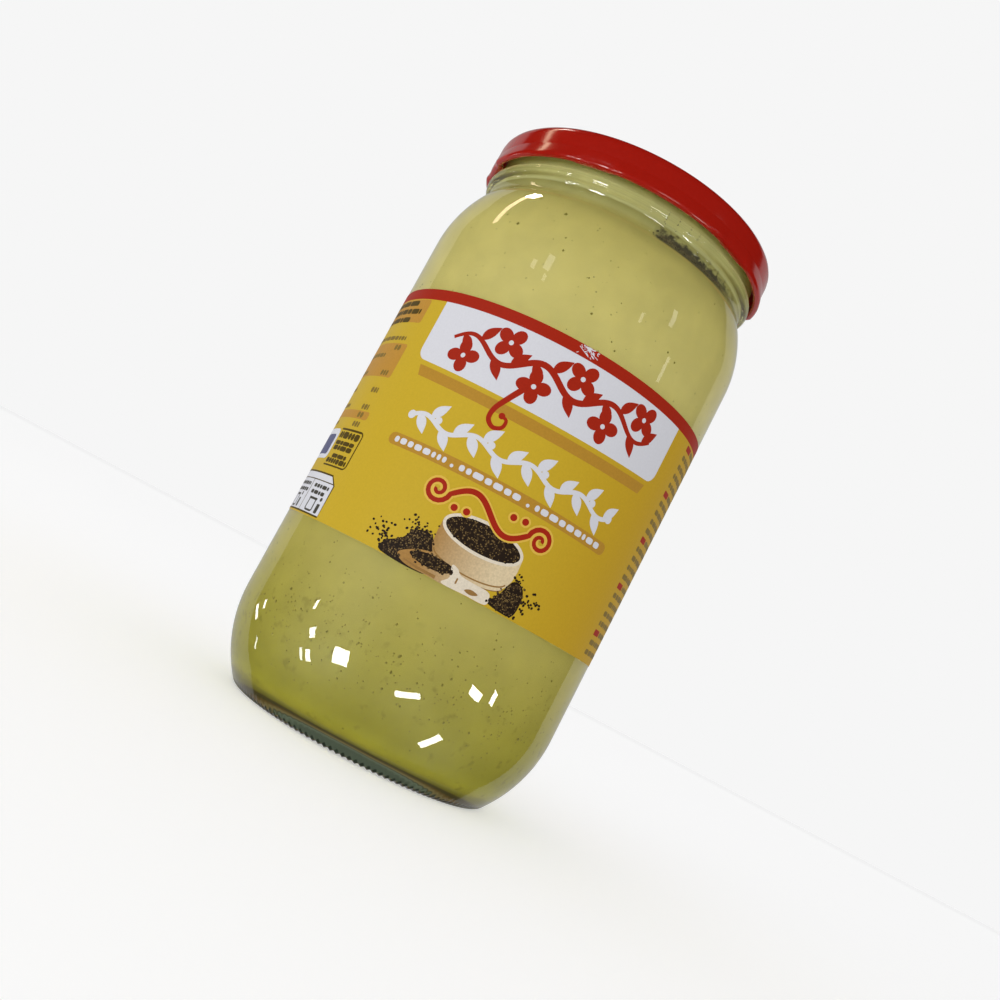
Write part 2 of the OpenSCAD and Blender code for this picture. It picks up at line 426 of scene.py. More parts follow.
def glass_outline():
    """The section of the glass: up its outside to the rim and down its inside to the floor."""
    stand_r = heel_x + math.sqrt((HEEL_R - FOOT_R) ** 2 - (HEEL_H - FOOT_R) ** 2)
    dome_edge = stand_r - STAND_W
    dome_r = (dome_edge ** 2 + DOME_H ** 2) / (2 * DOME_H)
    dome_a = math.degrees(math.asin(dome_edge / dome_r))
    low_a = -math.degrees(math.acos((NECK_R - bead_x) / BEAD_R))
    high_a = math.degrees(math.acos((MOUTH_R - bead_x) / BEAD_R))
    bore_r = NECK_R - WALL
    outside = [(0, DOME_H)] + arc(0, DOME_H - dome_r, dome_r, 90, 90 - dome_a, 8)[1:]
    outside += [(stand_r - STAND_W / 2, 0)] + side(0, 0, FOOT_R)
    outside += arc(bead_x, bead_h, BEAD_R, low_a, high_a, 24)
    outside += [(MOUTH_R, bead_h + 4)] + arc(MOUTH_R - RIM_R, RIM_H - RIM_R, RIM_R, 0, 90, 4)
    hollow = [(0, FLOOR_T)] + side(WALL, FLOOR_T, FLOOR_R)
    hollow += arc(bore_r + RIM_R, RIM_H - RIM_R, RIM_R, 180, 90, 4)
    return outside + hollow[::-1]


def glass_jar(glass):
    bm = turned(glass_outline(), RIBS * RIB_STEPS)
    for vert in bm.verts:
        co = vert.co
        r = math.hypot(co.x, co.y)
        # Short ribs pressed into the standing ring and round on to the foot
        if co.z < RIB_H:
            rib = 0.5 + 0.5 * math.cos(math.radians(azimuth(co)) * RIBS)
            fade = swell(r, RIB_R, RIB_HALF)
            co.z += RIB_DEPTH * (1 - rib) * fade
            co.xy *= 1 - RIB_SET_IN * (1 - rib) * fade
        # Fine mould lines round the neck, over and under its bead
        if co.z > root_h:
            for line, deep in MOULD_LINES:
                co.xy *= 1 - deep / r * swell(co.z, line, MOULD_HALF)
    piece = finished(bm, "glass_jar", glass, "glass")
    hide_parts("jar")


def mustard_fill(paste):
    """The paste, which reaches just into the wall, so that no air shows behind the glass."""
    into = 0.15
    bore_r, top = NECK_R - WALL + into, fill_high.z
    outline = [(0, FLOOR_T - into)] + side(WALL - into, FLOOR_T - into, FLOOR_R)
    outline += rounded([(bore_r, top - 6, 0), (bore_r, top, 1.0), (30, top - 0.4, 2.0),
                        (0, top - 0.6, 0)])
    bm = turned(outline, 200)
    piece = finished(bm, "mustard_fill", paste, "mustard")
    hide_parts("mustard")


def inner_radius(z):
    """Radius of the inside of the glass at height z, from the floor to the neck."""
    if z > root_h:
        return NECK_R - WALL
    if z > SHOULDER_H:
        return shoulder_x + math.sqrt((SHOULDER_R - WALL) ** 2 - (z - SHOULDER_H) ** 2)
    if z < HEEL_H:
        return heel_x + math.sqrt((HEEL_R - WALL) ** 2 - (HEEL_H - z) ** 2)
    return BODY_R - WALL


def grains(places):
    """A ball of radius 1 copied to every place, each place a matrix that also shapes it."""
    ball = bmesh.new()
    bmesh.ops.create_icosphere(ball, subdivisions=1, radius=1)
    mesh = bpy.data.meshes.new("grain")
    bm = bmesh.new()
    for place in places:
        grain = ball.copy()
        grain.transform(place)
        grain.to_mesh(mesh)
        grain.free()
        bm.from_mesh(mesh)
    ball.free()
    bpy.data.meshes.remove(mesh)
    return bm


def on_glass(turn, z, sunk, size, tilt):
    """The place of a flake that lies a little sunk into the inside of the glass."""
    return (Matrix.Rotation(math.radians(turn), 4, "Z")
            @ Matrix.Translation((0, -sunk - inner_radius(z), z))
            @ Matrix.Rotation(tilt, 4, "Y") @ Matrix.Diagonal((*size, 1)))


def husk_specks(husk):
    """Flakes of husk pressed against the glass: most below the label, some above it, and a
    few larger ones there."""
    rng = random.Random(7)
    flat, sunk = 0.4, 0.17
    places = []
    for _ in range(1400):
        low_down = rng.random() < 0.82
        z = rng.triangular(9, 46, 24) if low_down else rng.uniform(108, 142)
        size = rng.uniform(0.09, 0.23) * (1 if low_down else 0.85)
        if rng.random() < 0.10:
            size *= 1.9
        shape = (size * rng.uniform(0.7, 1.5), size * flat, size * rng.uniform(0.6, 1.2))
        places.append(on_glass(rng.uniform(0, 360), z, sunk, shape, rng.uniform(0, math.pi)))
    for at, z, size in ((-21.8, 138.8, 0.5), (-35.1, 132.5, 0.42), (2, 118.5, 0.35),
                        (14, 113.5, 0.3), (-4, 126, 0.25), (31, 121, 0.3)):
        places.append(on_glass(at, z, sunk, (size, size * flat, size), 0))
    finished(grains(places), "husk_specks", husk, "mustard")


def neck_shade_and_smears(shade_and_smear_finish):
    """Painted shade: a ragged band of dark flakes at the root of the neck, to the right of the
    front, where the paste stands off the glass; and hairline smears behind the bead.
    """
    rng = random.Random(21)
    flat, sunk = 0.4, 0.16
    places = []
    for _ in range(420):
        at = rng.uniform(8, 50)
        z = SHADE_BAND_H + abs(rng.gauss(0, 1.0))
        if z < SHADE_BAND_H + 3:
            size = rng.uniform(0.12, 0.40)
            shape = (size * rng.uniform(0.6, 1.2), size * flat, size * rng.uniform(1.0, 2.2))
            places.append(on_glass(at, z, sunk, shape, rng.uniform(-0.6, 0.6)))
    # Hairline smears behind the bead
    for at, z, tall in ((10.6, 151.9, 0.28), (11.2, 150.6, 0.35), (15.6, 151.7, 0.30),
                        (16.2, 150.4, 0.25), (21.0, 151.8, 0.25)):
        places.append(on_glass(at, z, sunk, (0.12, 0.08, tall), rng.uniform(-0.5, 0.5)))
    finished(grains(places), "neck_shade_and_smears", shade_and_smear_finish, "dried_stain")


# ---------------------------------------------------------------- the cap

CAP_T = 0.35
SKIRT_R = 41.85
BUTTON_DROP, SUNK_DROP = 0.40, 0.90  # how far the button and the sunken ring lie below the top
LUGS = 6
LUG_TURN = -21  # the first lug
LUG_HALF, LUG_FADE = 7.5, 3  # half a lug's width and the run-out of its ends, in degrees
LUG_H = 3.2  # how far the skirt is squeezed, up from its lower edge


def cap_outline():
    """The section of the cap: its top, out and down the skirt, round the rolled edge and back
    up the inside."""
    top, sunk = cap_high.z, cap_high.z - SUNK_DROP
    button = top - BUTTON_DROP
    curl_r = 0.95
    curl_h = cap_low.z + curl_r
    inner_r = SKIRT_R - CAP_T
    shown = rounded([(0, button, 0), (11.2, button, 2), (13, sunk, 2), (34.6, sunk, 1.5),
                     (36.8, top, 1.5), (SKIRT_R, top, 2.6), (SKIRT_R, curl_h + 3.0, 2.0),
                     (cap_high.x - 0.12, curl_h + 0.75, 0)])
    curl = arc(cap_high.x - curl_r, curl_h, curl_r, 15, -230, 16)
    hidden = rounded([(SKIRT_R - 0.9, curl_h + 1.3, 0), (inner_r, curl_h + 2.4, 1.0),
                      (inner_r, top - CAP_T, 2.2), (36.7, top - CAP_T, 1.0),
                      (34.5, sunk - CAP_T, 1.0), (0, sunk - CAP_T, 0)])
    return shown + curl + hidden


def enamel_cap(enamel):
    bm = turned(cap_outline(), 240)
    edge = cap_low.z + LUG_H
    pitch = 360 / LUGS
    for vert in bm.verts:
        co = vert.co
        if co.z > edge:
            continue
        # Six lugs: the rolled edge is squeezed in, and a little up
        off = abs((azimuth(co) - LUG_TURN + pitch / 2) % pitch - pitch / 2)
        press = max(0, min(1, (LUG_HALF + LUG_FADE / 2 - off) / LUG_FADE))
        press *= min(1, (edge - co.z) / 2.2)
        inner = math.hypot(co.x, co.y) < SKIRT_R - 0.45
        co.xy *= 1 - press * (0.028 if inner else 0.015)
        co.z += press * 0.25
    piece = finished(bm, "enamel_cap", enamel, "cap_enamel")
    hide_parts("cap")


# ---------------------------------------------------------------- the label

# The print lies in flat sheet coordinates: u along the paper from the middle of the
# front, positive to the right, and z up the jar. Each layer of ink is a thin film.
PAPER_IN = BODY_R + 0.03
PAPER_T = 0.05
WRAP_R = BODY_R + 0.12  # the radius at which lengths along the sheet are true
FILM = 0.009
FILM_STEP = 0.0008  # from one flat shape of an ink to the next that may overlap it
CLIMB = 0.006  # rise of a ribbon along its length, so that it can cross over itself
HALF_TURN = math.pi * WRAP_R
LOW, HIGH = label_low.z, label_high.z
BAND_LOW = HIGH - 3.0


def wrapped(bm, radius):
    """Bends flat (u, z) geometry round the jar."""
    for vert in bm.verts:
        a = vert.co.x / WRAP_R
        lift = radius + vert.co.z
        vert.co = (lift * math.sin(a), -lift * math.cos(a), vert.co.y)


def sheet_face(bm, points):
    """A flat shape; neighbours lie at slightly different heights where they overlap."""
    lift = FILM_STEP * (len(bm.faces) % 9)
    bm.faces.new([bm.verts.new((u, z, lift)) for u, z in points])


def cut_columns(bm):
    """Cuts flat faces into upright strips, so that they bend smoothly."""
    pitch = 1.2
    for face in bm.faces[:]:
        us = [vert.co.x for vert in face.verts]
        part = [face, *face.edges, *face.verts]
        for k in range(math.ceil(min(us) / pitch), math.floor(max(us) / pitch) + 1):
            part = bmesh.ops.bisect_plane(bm, geom=part, plane_co=(k * pitch, 0, 0),
                                          plane_no=(1, 0, 0), dist=0.0001)["geom"]


def printed(name, ink, layer, draw):
    """One ink of the print: draw(bm) lays its flat shapes, which are then wrapped."""
    bm = bmesh.new()
    draw(bm)
    bm.normal_update()
    bmesh.ops.reverse_faces(bm, faces=[face for face in bm.faces if face.normal.z < 0])
    cut_columns(bm)
    wrapped(bm, PAPER_IN + PAPER_T + FILM * layer)
    finished(bm, name, ink, "label_paper")


def bar(bm, u0, z0, u1, z1, r=0.0, steps=4):
    """A rectangle, with rounded corners where it has a radius."""
    r = min(r, (u1 - u0) / 2 - 0.001, (z1 - z0) / 2 - 0.001)
    points = [(u0, z0), (u1, z0), (u1, z1), (u0, z1)]
    if r > 0:
        middles = ((u1 - r, z0 + r), (u1 - r, z1 - r), (u0 + r, z1 - r), (u0 + r, z0 + r))
        points = [point for k, (u, z) in enumerate(middles)
                  for point in arc(u, z, r, 90 * k - 90, 90 * k, steps)]
    sheet_face(bm, points)


def set_down(points, u, z, turn):
    """Points turned by an angle in degrees and moved to (u, z)."""
    c, s = math.cos(math.radians(turn)), math.sin(math.radians(turn))
    return [(u + a * c - b * s, z + a * s + b * c) for a, b in points]


def disc(bm, u, z, ru, rz=None, turn=0, steps=10):
    """A circle, or an ellipse turned by an angle in degrees."""
    rz = ru if rz is None else rz
    angles = [math.tau * i / steps for i in range(steps)]
    ring = [(ru * math.cos(a), rz * math.sin(a)) for a in angles]
    sheet_face(bm, set_down(ring, u, z, turn))


def stroke(bm, path, width):
    """A ribbon along a path of (u, z) points; width is a number or a function of 0 to 1."""
    wide = width if callable(width) else (lambda t: width)
    left, right = [], []
    for i, (u, z) in enumerate(path):
        before, after = path[max(i - 1, 0)], path[min(i + 1, len(path) - 1)]
        run = Vector((after[0] - before[0], after[1] - before[1])).normalized()
        t = i / (len(path) - 1)
        half, lift = wide(t) / 2, CLIMB * t
        left.append(bm.verts.new((u - run.y * half, z + run.x * half, lift)))
        right.append(bm.verts.new((u + run.y * half, z - run.x * half, lift)))
    for i in range(len(path) - 1):
        bm.faces.new((right[i], right[i + 1], left[i + 1], left[i]))


def smooth(points, steps, closed=False):
    """A line that runs smoothly through a few points."""
    ring = [Vector(point) for point in (points if closed else (points[0], *points, points[-1]))]
    line = []
    for i in range(len(ring) if closed else len(ring) - 3):
        a, b, c, d = (ring[(i + k) % len(ring)] for k in range(4))
        for k in range(steps):
            t = k / steps
            line.append(tuple(0.5 * (2 * b + (c - a) * t + (2 * a - 5 * b + 4 * c - d) * t * t
                                     + (3 * b - 3 * c + d - a) * t ** 3)))
    return line if closed else line + [points[-1]]


def soft_shape(bm, points, steps):
    """A flat shape with a smooth edge through a few points."""
    sheet_face(bm, smooth(points, steps, closed=True))


def dashes(bm, u0, u1, z, height, rng, gap, longest):
    """A line of short bars, in place of small print."""
    u = u0
    while u < u1 - 0.6:
        end = min(u + rng.uniform(0.9, longest), u1)
        bar(bm, u, z - height / 2, end, z + height / 2, height * 0.35, 2)
        u = end + gap


def spiral(u, z, size, start, turns):
    """Points from the middle of a spiral out to its end."""
    line = []
    steps = 26
    for i in range(steps + 1):
        t = i / steps
        a = math.radians(start) + turns * math.tau * t
        r = size * (0.15 + 0.85 * t)
        line.append((u + r * math.cos(a), z + r * math.sin(a)))
    return line


def hanging_edge(u0, u1, z_mid, rise):
    """An edge that hangs lowest in its middle."""
    line = []
    steps = 24
    for i in range(steps + 1):
        t = 2 * i / steps - 1
        line.append((u0 + (u1 - u0) * i / steps, z_mid + rise * t * t))
    return line


def paper_sleeve(paper):
    """The strip of paper, whose end climbs on to its start and lies over it."""
    lap, slope = 6.0, 1.5
    length = 2 * HALF_TURN + lap
    bm = bmesh.new()
    bmesh.ops.create_grid(bm, x_segments=300, y_segments=4, size=1)
    for vert in bm.verts:
        u = -HALF_TURN + (vert.co.x + 1) / 2 * length
        climb = min(1, max(0, (u - (HALF_TURN - slope)) / slope))
        vert.co = (u, (LOW + HIGH) / 2 + vert.co.y * (HIGH - LOW) / 2,
                   climb * (PAPER_T + 3 * FILM))
    bmesh.ops.solidify(bm, geom=bm.faces[:], thickness=-PAPER_T * 0.55)
    wrapped(bm, PAPER_IN + PAPER_T * 0.45)
    bmesh.ops.recalc_face_normals(bm, faces=bm.faces)
    piece = finished(bm, "label_paper", paper, "label_paper")
    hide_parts("label")


def ground(bm):
    bar(bm, -HALF_TURN, LOW, HALF_TURN, BAND_LOW)


def red_band(bm):
    bar(bm, -HALF_TURN, BAND_LOW, HALF_TURN, HIGH)


def white_panel(bm):
    """The white field under the red band, with two round corners and a hanging lower edge."""
    u0, u1, corner = -34.4, 39.0, 3.0
    low = hanging_edge(u0 + corner, u1 - corner, 90.1, 1.5)
    right = arc(u1 - corner, low[-1][1] + corner, corner, -90, 0, 6)
    left = arc(u0 + corner, low[0][1] + corner, corner, 180, 270, 6)
    sheet_face(bm, low + right[1:] + [(u1, BAND_LOW), (u0, BAND_LOW)] + left[:-1])


def ochre_bar(bm):
    high = hanging_edge(-32, 36.6, 88.9, 1.5)
    low = hanging_edge(-31, 35.6, 86.2, 1.4)
    sheet_face(bm, low + high[::-1])


def ochre_pill(bm):
    bar(bm, -29.4, 69.5, 34.2, 72.6, 1.5)


def pill_dashes(bm):
    rng = random.Random(3)
    for u0, u1 in ((-27.5, -12.5), (-9.0, 7.5), (11.0, 32.5)):
        dashes(bm, u0, u1, 71.1, 1.5, rng, 0.5, 2.6)
    for u in (-10.8, 9.2):
        disc(bm, u, 70.6, 0.45)


def leaf(bm, u, z, length, turn, broad):
    """A pointed leaf from its stalk end, a little fuller on one side."""
    steps = 12
    edge = [(i / steps, math.sin(math.pi * (i / steps) ** 0.8)) for i in range(steps + 1)]
    points = [(t * length, 0.6 * broad * length * h) for t, h in edge]
    points += [(t * length, -0.4 * broad * length * h) for t, h in edge[-2:0:-1]]
    sheet_face(bm, set_down(points, u, z, turn))


def vine(bm, u0, u1, z, height, bends, width, leaf_length, broad):
    """A waving stem with leaves to either side of it, four to each bend."""
    steps, lean = 96, 52
    line = [(u0 + (u1 - u0) * i / steps,
             z + height / 2 * math.sin(bends * math.tau * i / steps)) for i in range(steps + 1)]
    stroke(bm, line, width)
    pitch = steps // (bends * 4)
    for i, (u, h) in enumerate(line[pitch // 2:-2:pitch]):
        leaf(bm, u, h, leaf_length, lean if i % 2 else -lean, broad)


def white_vine(bm):
    """A white vine in place of the product's name, with a bud at each end and berries where
    its stem comes back to the middle line."""
    u0, u1, z, bends = -26.5, 30.5, 78.0, 4
    vine(bm, u0, u1, z, 2.4, bends, 1.1, 5.6, 0.46)
    for k in range(bends):
        disc(bm, u0 + (u1 - u0) * (k + 0.5) / bends + 0.4, z + 0.9, 0.95, steps=14)
    for u in (u0, u1):
        disc(bm, u, z, 1.1, steps=14)


SCROLL_U, SCROLL_Z = 2.5, 64.6


def half_turned(points):
    """The same points turned half round about the middle of the scroll."""
    return [(2 * SCROLL_U - u, 2 * SCROLL_Z - z) for u, z in points]


def scroll_line():
    """A scroll with a curl at each end."""
    reach, curl_r, steps = 10.3, 3.2, 48
    curl = spiral(SCROLL_U - reach - curl_r, SCROLL_Z, curl_r, -540, 1.5)
    run = [(SCROLL_U - reach + 2 * reach * i / steps,
            SCROLL_Z + 2.9 * math.sin(i / steps * math.tau)) for i in range(1, steps)]
    return curl + run + half_turned(curl[::-1])


def scroll_dots(bm, r, steps):
    dots = [(-2.6, 62.6), (-5.6, 62.2)]
    for u, z in dots + half_turned(dots):
        disc(bm, u, z, r, steps=steps)


def scroll_glow(bm):
    stroke(bm, scroll_line(), 2.2)
    scroll_dots(bm, 1.35, 14)


def scroll(bm):
    stroke(bm, scroll_line(), lambda t: 0.8 + 0.6 * math.sin(math.pi * t))
    scroll_dots(bm, 0.85, 12)


def flower(bm, u, z, turn):
    """A flower of four petals that stand crosswise round its middle."""
    size = 4.3
    reach = 0.54 * size
    for k in range(4):
        a = math.radians(turn + 90 * k)
        disc(bm, u + reach * math.cos(a), z + reach * math.sin(a),
             0.46 * size, 0.38 * size, turn + 90 * k, 18)


SPRIG_U0, SPRIG_U1, SPRIG_Z = -26.5, 31.0, 99.4
SPRIG_BENDS = 3
TENDRIL = ((-2.7, 98.2), (-4.2, 94.4), (-6.4, 90.6), (-8.2, 87.2), (-8.4, 84.4), (-6.6, 82.9),
           (-4.6, 83.7), (-4.4, 85.6), (-5.8, 86.2))


def flower_places():
    """One flower in each hollow of the sprig's stem, under and over it by turns."""
    count, off = 2 * SPRIG_BENDS, 3.6
    for k in range(count):
        yield (SPRIG_U0 + (SPRIG_U1 - SPRIG_U0) * (k + 0.5) / count,
               SPRIG_Z + (off if k % 2 else -off))


def sprig(bm):
    """A mustard sprig in place of the maker's name, with a tendril that hangs over the bar."""
    vine(bm, SPRIG_U0, SPRIG_U1, SPRIG_Z, 4.4, SPRIG_BENDS,
         lambda t: 0.9 + 0.7 * math.sin(math.pi * t), 5.8, 0.44)
    for k, (u, z) in enumerate(flower_places()):
        flower(bm, u, z, 45 * (k % 2) + 10)
    stroke(bm, smooth(TENDRIL, 8), lambda t: 1.7 - 1.0 * t)
    disc(bm, *TENDRIL[-1], 0.8, steps=14)


def flower_hearts(bm):
    """The white middles of the flowers, each set to the nearest tenth of a millimetre."""
    for u, z in flower_places():
        disc(bm, round(u, 1), z, 0.62, steps=12)


def side_blocks(bm):
    """Orange fields behind the small print to the left of the front."""
    for z0, z1 in ((100.7, 107.4), (84.8, 94.5), (72.6, 74.9)):
        bar(bm, -78, z0, -40.2, z1, 0.8)


def side_print(bm):
    """Dark small print: three lines at the top and the lines in the upper box."""
    rng = random.Random(5)
    for z, u0 in ((106.3, -45.6), (103.9, -42.6), (101.4, -45.6)):
        dashes(bm, -76, u0, z, 1.5, rng, 0.25, 6)
    for z, u0, u1, height in ((67.7, -49.6, -38.9, 1.9), (65.5, -49.6, -39.4, 1.1),
                              (64.1, -49.2, -39.4, 1.3), (61.9, -47.4, -39.8, 1.1),
                              (60.5, -49.6, -38.8, 1.4)):
        dashes(bm, u0, u1, z, height, rng, 0.15, 3.2)


def side_figures(bm):
    """The fainter column of short marks beside the fields."""
    rng = random.Random(6)
    for z in (93.3, 86.0, 81.0, 76.1, 73.8, 71.2):
        dashes(bm, -45.8, -42.2, z, 1.6, rng, 0.25, 1.5)
    for z, end in ((96.0, -42.6), (91.0, -49), (86.0, -56), (81.0, -58), (76.1, -55), (71.2, -58)):
        dashes(bm, -76, end, z, 1.2, rng, 0.3, 3.2)


# The lowest box on the side: its left, right, lower and upper edges. Its top right corner is
# cut off, and a rule runs along under its upper edge.
BOX_U0, BOX_U1, BOX_LOW, BOX_HIGH = -80, -38.5, 46.1, 56.9
BOX_CORNER = ((BOX_U1, BOX_HIGH - 2.3), (BOX_U1 - 2.7, BOX_HIGH))
BOX_RULE = BOX_HIGH - 2.0


def side_frames(bm):
    """Dark rules round the two boxes of small print."""
    box = rounded([(-50, 59.2, 0), (-38, 59.2, 1.2), (-38, 69.3, 1.2), (-50, 69.3, 0)])
    stroke(bm, box, 0.42)
    bar(bm, -49.8, 69.0, -39, 69.55, 0.1)
    stroke(bm, [(BOX_U0, BOX_HIGH), *BOX_CORNER[::-1], (BOX_U1, BOX_LOW), (BOX_U0, BOX_LOW)],
           0.45)
    stroke(bm, [(BOX_U0, BOX_RULE), (BOX_U1 - 0.4, BOX_RULE)], 0.25)
    for u in (-49.8, -66):
        stroke(bm, [(u, BOX_LOW), (u, BOX_RULE)], 0.25)


def side_white(bm):
    bar(bm, -70, 60.6, -50.6, 69.2, 1.6)
    sheet_face(bm, [(BOX_U0, BOX_LOW), (BOX_U1, BOX_LOW), *BOX_CORNER, (BOX_U0, BOX_HIGH)])


def side_blue(bm):
    bar(bm, -68.6, 61.8, -52.2, 67.6, 1.0)


def side_signs(bm):
    """Plain shapes in the lowest box: a pot, a bottle and lines of dashes."""
    rng = random.Random(9)
    for u0, u1 in ((-48, -39.8), (-64.5, -51), (-78, -67.5)):
        for z in (53.4, 51.7):
            dashes(bm, u0, u1, z, 1.0, rng, 0.25, 2.4)
    for u in (-44.6, -57.5, -73):
        stroke(bm, rounded([(u - 1.7, 49.9, 0), (u - 1.9, 46.9, 0.6), (u + 1.9, 46.9, 0.6),
                            (u + 1.7, 49.9, 0)]), 0.5)
        bar(bm, u - 2.2, 49.8, u + 2.2, 50.4, 0.2)
        bar(bm, u + 3.3, 46.7, u + 4.7, 49.2, 0.3)
        disc(bm, u + 4.0, 50.4, 0.55)


LIST_U, LIST_LOW = 48.2, 48.2  # the left edge and the lowest row of the list on the right


def list_rows():
    """Rows of small print down the right side: height, where the row ends, heading length."""
    rng = random.Random(11)
    for k in range(23):
        end = 80 - (14 * rng.random() if k % 5 == 1 else 0)
        yield LIST_LOW + 2.64 * k, end, rng.uniform(3.2, 4.4) if k % 5 == 2 else 0


def list_lines(bm):
    rng = random.Random(12)
    for z, end, head in list_rows():
        dashes(bm, LIST_U + (head + 0.5 if head else 0), end, z, 1.35, rng, 0.25, 4.5)


def list_heads(bm):
    for z, _, head in list_rows():
        if head:
            bar(bm, LIST_U - 0.2, z - 0.8, LIST_U + head, z + 0.8, 0.3, 2)


# The picture at the foot of the label: a turned wooden bowl of seeds with a scoop
BOWL_U, RIM_Z = 3.9, 58.8
HEAP_LEFT = ((-16.3, 45.8), (-16.4, 48.5), (-13.2, 50.6), (-11.2, 53.6), (-7.8, 54.4),
             (-5.2, 52.0), (-3.5, 45.8))
HEAP_RIGHT = ((10.6, 46.8), (12.6, 48.7), (14.5, 53.4), (17.0, 53.6), (18.6, 51.2), (18.4, 46.6),
              (15.4, 45.9))
SCOOP = ((-9.9, 48.7), (-6.9, 50.0), (-2.6, 50.3), (0.5, 49.9), (0.7, 48.6), (-1.2, 47.6),
         (-4.4, 47.3), (-7.8, 47.6))
SCOOP_WOOD = ((-12.4, 47.2), (-10.4, 49.0), (-6.9, 50.5), (-2.6, 50.8), (1.2, 50.3), (1.7, 48.4),
              (1.2, 45.65), (-4.0, 45.6), (-9.6, 45.7))


def bowl_arc(width, depth, z, start, end):
    """Part of an ellipse about the bowl's upright axis."""
    steps = 30
    angles = [math.radians(start + (end - start) * i / steps) for i in range(steps + 1)]
    return [(BOWL_U + width * math.cos(a), z + depth * math.sin(a)) for a in angles]


def bowl_wood(bm):
    rim = bowl_arc(10.4, 4.1, RIM_Z, 0, 180)
    left = [(-6.5, 55.5), (-6.3, 52.9), (-5.5, 51.4)]
    foot = bowl_arc(9.2, 2.9, 51.2, 182, 358)
    right = [(13.6, 51.6), (14.3, 53.4), (14.5, 56.0)]
    sheet_face(bm, rim + left + foot + right)


def bowl_lines(bm):
    """The two turned grooves round the foot of the bowl."""
    for drop, width in ((0.0, 0.34), (1.1, 0.22)):
        stroke(bm, bowl_arc(9.4, 2.7, 52.3 - drop, 186, 354), width)


def bowl_rim(bm):
    for start in (0, 180):
        stroke(bm, bowl_arc(10.0, 3.75, RIM_Z, start, start + 180), 0.75)


def bowl_dark(bm):
    disc(bm, BOWL_U, RIM_Z, 9.7, 3.45, 0, 48)


def heap_dark(bm):
    soft_shape(bm, HEAP_LEFT, 5)
    soft_shape(bm, HEAP_RIGHT, 5)


def is_inside(u, z, points):
    """Whether a place lies inside an outline."""
    hit = False
    for (u0, z0), (u1, z1) in zip(points, points[1:] + points[:1]):
        if (z0 > z) != (z1 > z) and u < u0 + (u1 - u0) * (z - z0) / (z1 - z0):
            hit = not hit
    return hit


def seed_spots(rng):
    """Places of the printed seeds as (u, z): in the bowl, the heaps and the scoop. A heap has
    none where the scoop or the bowl stands before it."""
    spots = []
    for _ in range(420):
        a, q = rng.uniform(0, math.tau), math.sqrt(rng.random())
        spots.append((BOWL_U + 9.4 * q * math.cos(a), RIM_Z + 3.2 * q * math.sin(a)))
    for points, count in ((HEAP_LEFT, 700), (HEAP_RIGHT, 420), (SCOOP, 160)):
        us, zs = zip(*points)
        for _ in range(count):
            u, z = rng.uniform(min(us), max(us)), rng.uniform(min(zs), max(zs))
            near = (u + rng.gauss(0, 0.35), z + rng.gauss(0, 0.3))
            behind_scoop = points is not SCOOP and is_inside(u, z, SCOOP_WOOD)
            behind_bowl = (points is HEAP_LEFT and u > -6.2
                           or points is HEAP_RIGHT and u < 13.2 and z > 49.6)
            if is_inside(u, z, points) and not behind_scoop and not behind_bowl:
                spots.append(near)
    return [(u, z) for u, z in spots if z > LOW + 0.5]


def seed(bm, u, z, size, rng):
    disc(bm, u, z, size, size * 0.82, rng.uniform(0, 180), 7)


def seeds(bm, share, size, draw):
    """A share of the seeds, each a little off its place."""
    rng = random.Random(draw)
    off = 0.12
    for u, z in seed_spots(random.Random(17)):
        if rng.random() < share:
            seed(bm, u + rng.uniform(-off, off), z + rng.uniform(-off, off),
                 size * rng.uniform(0.75, 1.2), rng)


def loose_seeds(bm):
    """Seeds spilt round the heaps."""
    rng = random.Random(23)
    for count, us, zs in ((30, (-22.6, -14.5, -18.5), (47.2, 53.6, 50.4)),
                          (34, (-15.6, -5.6, -11), (52.4, 57.4, 53.6)),
                          (26, (-18.5, -15.2, -16.4), (46.6, 50.5, 47.6)),
                          (26, (18.0, 25.4, 19.6), (47.0, 54.0, 50.4)),
                          (16, (13.0, 19.4, 16.5), (45.9, 47.6, 46.3)),
                          (8, (14.5, 17.5, 15.5), (53.6, 57.0, 54.2))):
        for _ in range(count):
            seed(bm, rng.triangular(*us), rng.triangular(*zs), rng.uniform(0.22, 0.42), rng)


def scoop_wood(bm):
    soft_shape(bm, SCOOP_WOOD, 6)


def scoop_handle(bm):
    soft_shape(bm, ((0.2, 50.4), (1.8, 50.2), (3.0, 49.2), (6.0, 48.9), (10.2, 48.8), (11.3, 47.6),
                    (10.9, 45.8), (6.0, 45.65), (-0.2, 45.65), (0.9, 47.6)), 6)


def scoop_dark(bm):
    soft_shape(bm, SCOOP, 6)


def scoop_shade(bm):
    """The worn edge and end grain of the scoop's handle."""
    bar(bm, 2.5, 46.9, 2.9, 48.3, 0.15)
    soft_shape(bm, ((5.2, 46.6), (6.6, 47.4), (8.6, 47.0), (7.0, 46.2)), 4)
    stroke(bm, [(-10.4, 46.6), (-7.0, 46.2), (-2.0, 46.1)], lambda t: 0.3 + 0.5 * t)


